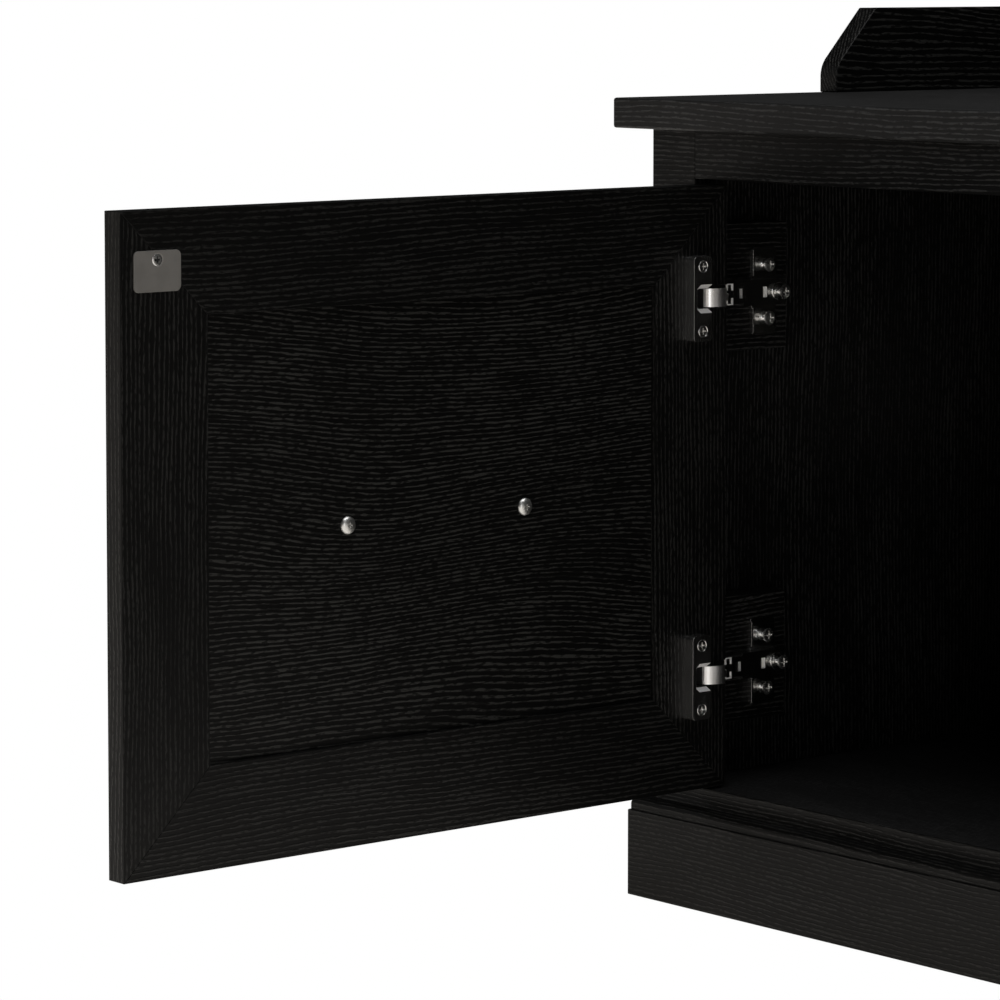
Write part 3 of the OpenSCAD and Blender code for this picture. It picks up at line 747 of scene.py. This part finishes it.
FACING = {"+X": Matrix.Rotation(math.pi / 2, 4, "Y"), "-X": Matrix.Rotation(-math.pi / 2, 4, "Y"),
          "+Y": Matrix.Rotation(-math.pi / 2, 4, "X"), "+Z": Matrix.Identity(4)}


def stood(piece, place, towards):
    twin = piece.copy()
    twin.data = piece.data.copy()
    bpy.context.collection.objects.link(twin)
    twin.matrix_world = Matrix.Translation(place) @ FACING[towards]
    return settle(twin)


# %% [markdown]
# ## Hinges, the half on the door
# The housing is a rounded casting screwed to the door. A deep eight-sided well with a
# chamfered rim is cut into it, and its near side is scooped out, so that the strap can
# come up out of the well, arch over and reach the pin at the edge of the door.

# %% Hinge housing
housing_mid = 27.1 * mm
cup_screw_z = 19 * mm
plate_screw_y, plate_screw_z = 55 * mm, 16 * mm
clamp_screw_y, arm_face = 60 * mm, 9.45 * mm
pin_in_door = (5.2 * mm, 5.2 * mm, 0)
pin_in_side = (8.2 * mm, 5.2 * mm, 0)


def housing():
    piece = block("housing", (20 * mm, door_t - 0.02 * mm, -25 * mm),
                  (34.2 * mm, door_t + 8.6 * mm, 25 * mm))
    grab(piece, lambda centre, way: abs(way.y) > 0.9, "EDGE")
    bpy.ops.mesh.bevel(offset=2.5 * mm, segments=5, affect="EDGES")
    bpy.ops.object.mode_set(mode="OBJECT")
    well = block("well_wall", (20 * mm, 6.0 * mm, -10.2 * mm),
                 (32.2 * mm, door_t + 1 * mm, 10.2 * mm))
    weld(piece, well)
    top = door_t + 8.6 * mm
    eight = [(17.5, -5.8), (22.0, -6.0), (28.4, -6.0), (30.8, -4.4), (30.8, 4.4), (28.4, 6.0),
             (22.0, 6.0), (17.5, 5.8)]
    hole = drawn("well", [(x * mm, 7.2 * mm, z * mm) for x, z in eight], (0, 30 * mm, 0))
    rim = drawn("rim", [(x * mm, top - 2.4 * mm, z * mm) for x, z in eight], (0, 2.6 * mm, 0))
    grab(rim, lambda centre, normal: normal.y > 0.9)
    bpy.ops.transform.resize(value=(1.14, 1, 1.42), center_override=(25 * mm, top, 0))
    bpy.ops.object.mode_set(mode="OBJECT")
    cut(piece, hole, rim)
    for side in (-1, 1):
        sink = turned("sink", [(1.7 * mm, -12 * mm), (1.7 * mm, -1.9 * mm), (3.65 * mm, 0.0),
                               (4.1 * mm, 0.6 * mm)], (0, 0, 0), "+Z", sides=32)
        cut(piece, stood(sink, (housing_mid, top, side * cup_screw_z), "+Y"))
        bpy.data.objects.remove(sink)
    scoop = turned("scoop", [(5.6 * mm, 0.0), (7.2 * mm, 4 * mm), (11.0 * mm, 8 * mm)],
                   (0, 0, 0), "+Z", sides=48)
    cut(piece, stood(scoop, (25 * mm, top + 1.5 * mm, 0), "-X"))
    bpy.data.objects.remove(scoop)
    ease(piece, 0.7 * mm, segments=4, angle=25)

    # Painted highlight: the chamfered rim of the well and the outer rounded edge take the pale
    # finish.
    def wear_and_highlight(mid, way):
        at_rim = abs(mid.z) < 9.5 * mm and 19 * mm < mid.x < 32.5 * mm
        at_edge = mid.x > 33.5 * mm and 0.25 < way.y < 0.97
        return at_edge or (at_rim and mid.y > top - 2.9 * mm and 0.1 < abs(way.y) < 0.97)
    return mark(piece, wear_and_highlight)


# %% [markdown]
# The strap is bent sheet, 2 mm thick. Its outline is walked as two curves, the outer one
# out and the inner one back. It is pulled to its width, and then trimmed to a narrow
# tongue that fits between the two tines of the arm.

# %% Hinge strap
def strap():
    spine = [(4.0, 5.2), (4.0, 15.8)]
    spine += [(4 + 5.2 * (1 - math.cos(a)), 15.8 + 5.2 * math.sin(a))
              for a in (math.radians(15 * i) for i in range(1, 7))]
    spine += [(10.8, 20.85), (12.4, 20.5), (14.0, 19.95), (15.6, 19.35), (17.1, 18.75),
              (18.4, 18.05), (19.4, 17.1), (20.1, 15.9), (21.3, 12.6), (21.8, 8.4)]
    outer, inner = [], []
    for i, point in enumerate(spine):
        before, after = spine[max(0, i - 1)], spine[min(len(spine) - 1, i + 1)]
        step = Vector((after[0] - before[0], after[1] - before[1])).normalized()
        side = Vector((-step.y, step.x)) * 0.95
        outer.append(Vector(point) + side)
        inner.append(Vector(point) - side)
    ring = outer + inner[::-1]
    piece = drawn("strap", [(p.x * mm, p.y * mm, -5.4 * mm) for p in ring], (0, 0, 10.8 * mm))
    for side in (-1, 1):
        low, high = sorted((side * 2 * mm, side * 9 * mm))
        cut(piece, block("trim", (-5 * mm, -5 * mm, low), (7.4 * mm, 30 * mm, high)))
    knuckle = turned("knuckle", [(2.4 * mm, -2 * mm), (2.4 * mm, 2 * mm)], pin_in_door, "+Z",
                     sides=32)
    weld(piece, knuckle)
    ease(piece, 0.3 * mm, segments=3, angle=32)
    # Painted shade: the leg of the strap, down in the well, takes the dark finish.
    return mark(piece, lambda mid, way: mid.x > 15 * mm and mid.y < 16.6 * mm)


# %% [markdown]
# ## Hinges, the half on the cabinet
# The arm forks into two tines at the pin, carries a small framed lip, and widens into a
# channel with folded sides. Its axes are those of the corner of the opening: x into the
# opening, y towards the back and z up from the hinge centre.

# %% Hinge arm
def arm():
    piece = block("arm", (6.95 * mm, 22.2 * mm, -6 * mm), (9.45 * mm, 32 * mm, 6 * mm))
    for side in (-1, 1):
        low, high = sorted((side * 2.25 * mm, side * 6 * mm))
        tine = block("tine", (6.95 * mm, 5.2 * mm, low), (9.45 * mm, 23 * mm, high))
        eye = turned("eye", [(2.4 * mm, low), (2.4 * mm, high)], pin_in_side, "+Z")
        weld(piece, tine, eye)
    lip = block("lip", (8 * mm, 17.0 * mm, -6.4 * mm), (10.0 * mm, 22.0 * mm, 6.4 * mm))
    grab(lip, lambda centre, normal: normal.x > 0.9)
    bpy.ops.mesh.inset(thickness=0.7 * mm)
    bpy.ops.mesh.extrude_region_move(TRANSFORM_OT_translate={"value": (-0.9 * mm, 0, 0)})
    bpy.ops.object.mode_set(mode="OBJECT")
    web = block("web", (7.95 * mm, 31 * mm, -7.75 * mm), (9.45 * mm, 66 * mm, 7.75 * mm))
    fold_a = block("fold", (2 * mm, 31 * mm, -7.75 * mm), (9 * mm, 66 * mm, -6.55 * mm))
    fold_b = block("fold", (2 * mm, 31 * mm, 6.55 * mm), (9 * mm, 66 * mm, 7.75 * mm))
    weld(piece, lip, web, fold_a, fold_b)
    washer = turned("washer", [(5.4 * mm, 0.0), (5.4 * mm, 0.5 * mm), (4.6 * mm, 0.9 * mm)],
                    (9.3 * mm, clamp_screw_y, 0), "+X", sides=40)
    weld(piece, washer)
    cut(piece, block("slot", (5 * mm, 15 * mm, -2.25 * mm), (14 * mm, 22.1 * mm, 2.25 * mm)),
        block("slot", (5 * mm, 25.8 * mm, -2.9 * mm), (14 * mm, 29.9 * mm, 2.9 * mm)),
        block("slot", (5 * mm, 46 * mm, -3.2 * mm), (14 * mm, 50 * mm, 3.2 * mm)),
        turned("hole", [(1.7 * mm, 0), (1.7 * mm, 9 * mm)], (5 * mm, clamp_screw_y, 0), "+X"),
        turned("hole", [(1.55 * mm, -9 * mm), (1.55 * mm, 9 * mm)], pin_in_side, "+Z"))
    ease(piece, 0.25 * mm, segments=3, angle=30)

    # Painted highlight: the framed lip and the end walls of the slots take the pale finish.
    def wear_and_highlight(mid, way):
        on_rim = 16.8 * mm < mid.y < 22.3 * mm and mid.x > 9.72 * mm
        return on_rim or (mid.x > 7.9 * mm and mid.y > 25 * mm and abs(mid.z) < 3.3 * mm
                          and mid.y < 51 * mm and way.y < -0.7)
    return mark(piece, wear_and_highlight)


# %% [markdown]
# The mounting plate is a stamped sheet: two wings with rounded corners, each with its
# front edge bent up, and a rib between them that the channel of the arm slides over.

# %% Mounting plate
def mounting_plate():
    piece = block("wings", (0, 45 * mm, -26.2 * mm), (1.5 * mm, 65 * mm, 26.2 * mm))
    grab(piece, lambda centre, way: abs(way.x) > 0.9, "EDGE")
    bpy.ops.mesh.bevel(offset=2.5 * mm, segments=5, affect="EDGES")
    bpy.ops.object.mode_set(mode="OBJECT")
    rib = block("rib", (0, 33 * mm, -6.4 * mm), (7.9 * mm, 66 * mm, 6.4 * mm))
    weld(piece, rib)
    for side in (-1, 1):
        bend = [(0, 45), (4.2, 43.7), (4.3, 44.9), (2.2, 45.7), (1.4, 47.6), (0, 47.6)]
        lip = drawn("bent_lip", [(x * mm, y * mm, side * 17.2 * mm - 7.7 * mm) for x, y in bend],
                    (0, 0, 15.4 * mm))
        weld(piece, lip)
        cut(piece, turned("hole", [(1.7 * mm, -6 * mm), (1.7 * mm, 6 * mm)],
                          (0, plate_screw_y, side * plate_screw_z), "+X"))
    ease(piece, 0.4 * mm, segments=4, angle=30)
    # Painted highlight: the tops of the bent lips take the pale finish.
    return mark(piece, lambda mid, way: mid.x > 3.6 * mm and mid.y < 45.6 * mm and way.x > 0.2)


# %% Fit the hinges
door_part, strap_part, arm_part, plate_part = housing(), strap(), arm(), mounting_plate()
hinge_parts = (door_part, strap_part, arm_part, plate_part)
print("hinge faces:", [len(p.data.polygons) for p in hinge_parts])
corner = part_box("face_stile_left")
centre_y = corner[0].y
to_left_side = Matrix(((1, 0, 0, corner[1].x), (0, 1, 0, centre_y), (0, 0, 1, 0), (0, 0, 0, 1)))
to_right_side = Matrix(((-1, 0, 0, -corner[1].x), (0, 1, 0, centre_y), (0, 0, 1, 0),
                        (0, 0, 0, 1)))
SIDES = (("left", to_left, to_left_side), ("right", to_right, to_right_side))
long_pillar, short_pillar = pillar_screw(20 * mm), pillar_screw(6 * mm)
wood_screw, short_screw = sunk_screw(18 * mm), sunk_screw(10 * mm)
plate_low, plate_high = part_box("strike_plate_right")
strike_low = Vector((shut_high.x - plate_high.x, 0, plate_low.z - shut_low.z))
strike_high = Vector((shut_high.x - plate_low.x, 0, plate_high.z - shut_low.z))
screw_x = (strike_low.x + strike_high.x) / 2
screw_z = strike_high.z - 5 * mm
pin = turned("pin", [(1.2 * mm, -6.0 * mm), (1.5 * mm, -5.8 * mm), (1.5 * mm, 5.8 * mm),
                     (1.2 * mm, 6.0 * mm)], pin_in_side, "+Z", sides=24)
ease(pin, 0.1 * mm, segments=2)
all_pins, all_pillars = [], []
for side, door_way, side_way in SIDES:
    plates, door_screws = [], []
    for level, height in (("lower", hinge_low), ("upper", hinge_high)):
        lift = height + open_low.z
        # The pale second finish on the casting rims and arm edges is a painted highlight.
        finish_metal(placed(door_part, f"hinge_cup_{side}_{level}_cast", door_way, height), zinc,
                     "door_" + side, "hinge_steel", f"hinge_cup_{side}_{level}", second=painted_highlight_metal)
        # The dark second finish on the leg of the strap is a painted shade.
        finish_metal(placed(strap_part, f"hinge_leaf_{side}_{level}_strap", door_way, height),
                     strap_nickel, "door_" + side, "hinge_chrome", f"hinge_leaf_{side}_{level}",
                     second=painted_shade_steel)
        finish_metal(placed(arm_part, f"hinge_arm_{side}_{level}_cast", side_way, lift), nickel,
                     "cabinet", "hinge_chrome", f"hinge_arm_{side}_{level}", second=painted_highlight_metal)
        plates.append(placed(plate_part, "plate", side_way, lift))
        all_pins.append(placed(pin, "pin", side_way, lift))
        for z in (-plate_screw_z, plate_screw_z):
            screw = stood(long_pillar, (1.5 * mm, plate_screw_y, z), "+X")
            all_pillars.append(placed(screw, "pillar", side_way, lift))
            bpy.data.objects.remove(screw)
        screw = stood(short_pillar, (arm_face, clamp_screw_y, 0), "+X")
        all_pillars.append(placed(screw, "pillar", side_way, lift))
        bpy.data.objects.remove(screw)
        for z in (-cup_screw_z, cup_screw_z):
            screw = stood(wood_screw, (housing_mid, door_t + 8.5 * mm, z), "+Y")
            door_screws.append(placed(screw, "screw", door_way, height))
            bpy.data.objects.remove(screw)
    # The pale second finish on the lips of the plates is a painted highlight.
    finish_metal(joined(f"hinge_plates_{side}_sheet", *plates), nickel, "cabinet", "hinge_steel",
                 f"hinge_plates_{side}", second=painted_highlight_metal)
    screw = stood(short_screw, (screw_x, door_t + 0.9 * mm, screw_z), "+Y")
    door_screws.append(placed(screw, "screw", door_way))
    bpy.data.objects.remove(screw)
    finish_metal(joined(f"door_screws_{side}_steel", *door_screws), screw_steel, "door_" + side,
                 "screws", f"door_screws_{side}")
finish_metal(joined("hinge_pins_steel", *all_pins), screw_steel, "cabinet", "hinge_steel",
             "hinge_pins")
finish_metal(joined("plate_screws_steel", *all_pillars), screw_steel, "cabinet", "screws",
             "plate_screws")
for piece in (*hinge_parts, long_pillar, short_pillar, wood_screw, pin):
    bpy.data.objects.remove(piece)

# %% [markdown]
# Each hinge stands on a small spacer block that brings it level with the edge of the face
# frame. The blocks are offcuts, and their grain runs front to back.

# %% Spacer blocks
for side in ("left", "right"):
    for level in ("upper", "lower"):
        board(f"hinge_block_{side}_{level}", "Y", "spacer_block", edge=0.5 * mm,
              shift=0.3 + len(foils))

# %% [markdown]
# ## Catches and handles
# The strike plate is a rounded steel plate with one countersunk screw. Opposite it a
# plastic catch holds a magnet. The handles are round bars on two feet, and the domed
# screws that hold them show on the inside of the door.

# %% Strike plates
strike = block("strike", (strike_low.x, door_t - 0.02 * mm, strike_low.z),
               (strike_high.x, door_t + 1.2 * mm, strike_high.z))
grab(strike, lambda centre, way: abs(way.y) > 0.9, "EDGE")
bpy.ops.mesh.bevel(offset=3 * mm, segments=6, affect="EDGES")
bpy.ops.object.mode_set(mode="OBJECT")
sink = turned("sink", [(1.7 * mm, -6 * mm), (1.7 * mm, -1.9 * mm), (3.6 * mm, 0.0),
                       (3.9 * mm, 0.3 * mm)], (0, 0, 0), "+Z", sides=32)
cut(strike, stood(sink, (screw_x, door_t + 1.2 * mm, screw_z), "+Y"))
bpy.data.objects.remove(sink)
ease(strike, 0.3 * mm)
for side, way, sideways in DOORS:
    finish_metal(placed(strike, f"strike_plate_{side}_sheet", way), sheet_steel, "door_" + side,
                 "strike_plate", f"strike_plate_{side}")
bpy.data.objects.remove(strike)

# %% Handles and their screws
bar_y, half_bar, half_pitch = -25 * mm, 75 * mm, 64 * mm
middle_x, middle_z = door_w / 2, door_h / 2
bar_end = [(3.0, 0.0), (3.9, 0.25), (4.6, 0.9), (5.0, 1.9)]
bar = turned("bar", [(r * mm, h * mm) for r, h in bar_end]
             + [(r * mm, 150 * mm - h * mm) for r, h in bar_end[::-1]],
             (middle_x - half_bar, bar_y, middle_z), "+X", sides=48)
for x in (-half_pitch, half_pitch):
    foot = turned("foot", [(4.0 * mm, 0.0), (4.0 * mm, 24 * mm), (4.5 * mm, 25.5 * mm),
                           (4.5 * mm, 28.5 * mm)], (middle_x + x, bar_y, middle_z), "+Y",
                  sides=40)
    weld(bar, foot)
ease(bar, 0.25 * mm, angle=35)
dome = dome_screw(16 * mm)
for side, way, sideways in DOORS:
    finish_metal(placed(bar, f"handle_{side}_bar", way), black_metal, "door_" + side, "handle",
                 f"handle_{side}")
    heads = []
    for x in (-half_pitch, half_pitch):
        head = stood(dome, (middle_x + x, groove_high, middle_z), "+Y")
        heads.append(placed(head, "head", way))
        bpy.data.objects.remove(head)
    finish_metal(joined(f"handle_screws_{side}_steel", *heads), dome_steel, "door_" + side,
                 "screws", f"handle_screws_{side}")
bpy.data.objects.remove(bar)
bpy.data.objects.remove(dome)

# %% Magnetic catches
catch_low, catch_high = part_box("catch_left")
catch_z = (catch_low.z + catch_high.z) / 2
half = catch_high.z - catch_z
left, right = catch_low.x - corner[1].x, catch_high.x - corner[1].x
catch = block("catch", (left, 15.6 * mm, -half), (right - 10 * mm, 43.6 * mm, half))
weld(catch, block("foot", (right - 11 * mm, 18 * mm, -half), (right, 43.6 * mm, half)),
     block("ear", (right - 3 * mm, 18 * mm, -half), (right, 59.6 * mm, half)))
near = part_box("catch_magnets")[0].x - corner[1].x
cut(catch, block("recess", (near, 10 * mm, -7.5 * mm), (near + 18 * mm, 27.6 * mm, 7.5 * mm)))
ease(catch, 0.8 * mm)
magnet = block("magnet", (near + 0.1 * mm, 15.7 * mm, -7.4 * mm),
               (near + 17.9 * mm, 27.6 * mm, 7.4 * mm))
ease(magnet, 0.5 * mm)
magnets, catch_screws = [], []
for side, door_way, side_way in SIDES:
    finish_metal(placed(catch, f"catch_{side}_plastic", side_way, catch_z), brown_plastic,
                 "cabinet", "catch_plastic", f"catch_{side}")
    magnets.append(placed(magnet, "magnet", side_way, catch_z))
    for z in (-6 * mm, 6 * mm):
        screw = stood(short_screw, (right - 3.1 * mm, 51.6 * mm, z), "-X")
        catch_screws.append(placed(screw, "screw", side_way, catch_z))
        bpy.data.objects.remove(screw)
finish_metal(joined("catch_magnets_ferrite", *magnets), ferrite, "cabinet", "magnet",
             "catch_magnets")
finish_metal(joined("catch_screws_steel", *catch_screws), screw_steel, "cabinet", "screws",
             "catch_screws")
for piece in (catch, magnet, short_screw):
    bpy.data.objects.remove(piece)

# %% [markdown]
# ## Camera, floor and light
# The camera stands low in front of the right half and looks across the open door. A
# long lens keeps the uprights parallel. Its frame is shifted down a little, so that the
# lens itself can stay almost level.

# %% Camera
camera = bpy.data.cameras.new("camera")
camera.sensor_width = 36
camera.lens = 156.69
camera.shift_y = -0.2
camera.clip_end = 100
eye = bpy.data.objects.new("camera", camera)
bpy.context.scene.collection.objects.link(eye)
eye.location = (1.4269, -1.9328, 0.5616)
heading, pitch = math.radians(49.872), math.radians(-4.443)
forward = Vector((-math.sin(heading) * math.cos(pitch), math.cos(heading) * math.cos(pitch),
                  math.sin(pitch)))
eye.rotation_euler = forward.to_track_quat("-Z", "Y").to_euler()
bpy.context.scene.camera = eye

# %% [markdown]
# A black object on a white floor needs large dim lights: one from the front left for the
# faces that look forward, one overhead for the worktop, and a tall narrow one on the right
# that draws bright lines on the hinges and lights the inside of the door. The world is
# white to the camera only, so that it does not grey the black.

# %% Floor, world and lights
clear()
bpy.ops.mesh.primitive_plane_add(size=60, location=(0, 0, 0))
floor = bpy.context.object
floor.name = "floor"
paper = Finish("floor_paper")
px, py, pz = paper.parts(paper.place())
speck = paper.noise(paper.vector(px * 40.0, py * 40.0, pz), detail=3.0)
paper.set(Base_Color=paper.mix(speck, (0.80, 0.795, 0.78), (0.84, 0.835, 0.82)), Roughness=0.9)
paper.shader.inputs["Specular IOR Level"].default_value = 0.1
paper.shader.inputs["Emission Color"].default_value = (1.0, 0.92, 0.83, 1)
paper.shader.inputs["Emission Strength"].default_value = 0.45
glow = paper.tree.nodes.new("ShaderNodeEmission")
glow.inputs["Strength"].default_value = 1.0
ray = paper.tree.nodes.new("ShaderNodeLightPath")
both = paper.tree.nodes.new("ShaderNodeMixShader")
paper.tree.links.new(ray.outputs["Is Camera Ray"], both.inputs[0])
paper.tree.links.new(paper.shader.outputs[0], both.inputs[1])
paper.tree.links.new(glow.outputs[0], both.inputs[2])
paper.tree.links.new(both.outputs[0], paper.tree.nodes["Material Output"].inputs["Surface"])
floor.data.materials.append(paper.material)

world = bpy.data.worlds.new("studio")
bpy.context.scene.world = world
world.use_nodes = True
tree = world.node_tree
dim = tree.nodes["Background"]
dim.inputs["Color"].default_value = (1, 1, 1, 1)
dim.inputs["Strength"].default_value = 0.02
white = tree.nodes.new("ShaderNodeBackground")
white.inputs["Color"].default_value = (1, 1, 1, 1)
white.inputs["Strength"].default_value = 1.0
path = tree.nodes.new("ShaderNodeLightPath")
choose = tree.nodes.new("ShaderNodeMixShader")
tree.links.new(path.outputs["Is Camera Ray"], choose.inputs[0])
tree.links.new(dim.outputs[0], choose.inputs[1])
tree.links.new(white.outputs[0], choose.inputs[2])
tree.links.new(choose.outputs[0], tree.nodes["World Output"].inputs["Surface"])


def softbox(name, place, aim, size, power, colour=(1, 1, 1)):
    light = bpy.data.lights.new(name, "AREA")
    light.shape = "RECTANGLE"
    light.size, light.size_y = size
    light.energy = power
    light.color = colour
    lamp = bpy.data.objects.new(name, light)
    bpy.context.scene.collection.objects.link(lamp)
    lamp.location = place
    lamp.rotation_euler = (Vector(aim) - Vector(place)).to_track_quat("-Z", "Y").to_euler()
    return lamp


softbox("front_left", (-2.0, -3.0, 1.7), (0, 0, 0.3), (1.8, 1.6), 9)
softbox("overhead", (0.2, -0.3, 2.8), (0, 0, 0.3), (2.4, 2.0), 36)
softbox("right", (2.5, -1.5, 0.6), (-0.4, -0.3, 0.35), (0.45, 1.2), 5.6)
bpy.context.scene.view_settings.view_transform = "Standard"
